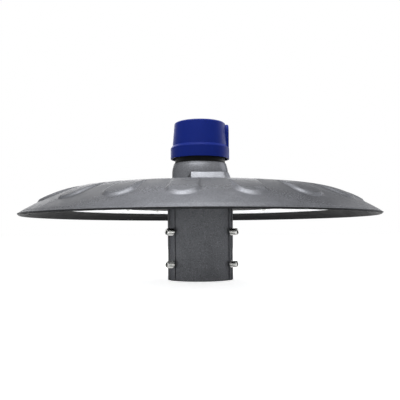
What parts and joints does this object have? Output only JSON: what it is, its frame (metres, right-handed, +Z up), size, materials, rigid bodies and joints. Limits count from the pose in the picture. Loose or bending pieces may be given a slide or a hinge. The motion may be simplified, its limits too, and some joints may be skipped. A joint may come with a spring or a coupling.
{
  "type": "post top luminaire",
  "caption": "Round pole-top area light: petalled grey dome with a ring lens, slip fitter with set screws, and a blue twist-lock photocontrol on a cast neck.",
  "frame": {"origin": "centre of the slip fitter's mouth, where the pole enters", "axes": "+Z up along the pole and the luminaire's axis, -Y towards the front, where the cast nose is; +X to the right seen from the front"},
  "size_m": [0.5, 0.5, 0.224],
  "materials": {
    "housing_paint": "grey textured powder coat on die-cast aluminium, satin",
    "sheet_paint": "grey powder coat on aluminium sheet, satin",
    "plate_paint": "dark grey powder coat, satin",
    "lens_plastic": "white diffusing lens, satin",
    "stainless": "stainless steel, bright",
    "stainless_painted": "steel painted with the trim ring",
    "gasket_rubber": "black rubber, matt",
    "foam_black": "black foam, matt",
    "bare_aluminium": "bare aluminium",
    "board_white": "white solder mask",
    "board_green": "green solder mask",
    "phosphor": "yellow phosphor",
    "driver_case_metal": "plated steel case, satin",
    "black_plastic": "black moulded plastic",
    "terminal_plastic": "off-white moulded plastic",
    "brass_contact": "brass",
    "lead_sleeve": "insulated lead",
    "blue_plastic": "blue moulded plastic, semi-gloss",
    "sensor_red": "red epoxy",
    "clear_window": "clear window"
  },
  "bodies": {
    "luminaire": {"dome_housing": "housing_paint", "cover_plate": "plate_paint", "cover_gasket": "gasket_rubber", "cover_screws": "stainless", "lens_ring": "lens_plastic", "lens_gasket": "gasket_rubber", "trim_ring": "sheet_paint", "trim_screws": "stainless_painted", "heat_spreader": "bare_aluminium", "spreader_screws": "stainless", "led_boards": "board_white", "led_chips": "phosphor", "slip_fitter": "housing_paint", "fitter_gasket": "gasket_rubber", "fitter_bolts": "stainless", "set_screws": "stainless", "wire_grommet": "gasket_rubber", "driver_left": "driver_case_metal", "driver_right": "driver_case_metal", "driver_screws": "stainless", "surge_protector": "black_plastic", "terminal_block": "terminal_plastic", "receptacle": "black_plastic", "receptacle_gasket": "gasket_rubber", "receptacle_screws": "stainless", "receptacle_contacts": "brass_contact", "receptacle_leads": "lead_sleeve"},
    "photocontrol": {"photocontrol_cover": "blue_plastic", "photocontrol_base": "black_plastic", "photocontrol_gasket": "foam_black", "contact_blades": "brass_contact", "sensor_board": "board_green", "load_relay": "black_plastic", "photo_sensor": "sensor_red", "sensor_window": "clear_window"}
  },
  "joints": [
    {"name": "photocontrol_twist", "type": "hinge", "parent": "luminaire", "child": "photocontrol", "pos_m": [0, 0, 0.172], "axis": [0, 0, 1], "range_deg": [0, 15]}
  ]
}
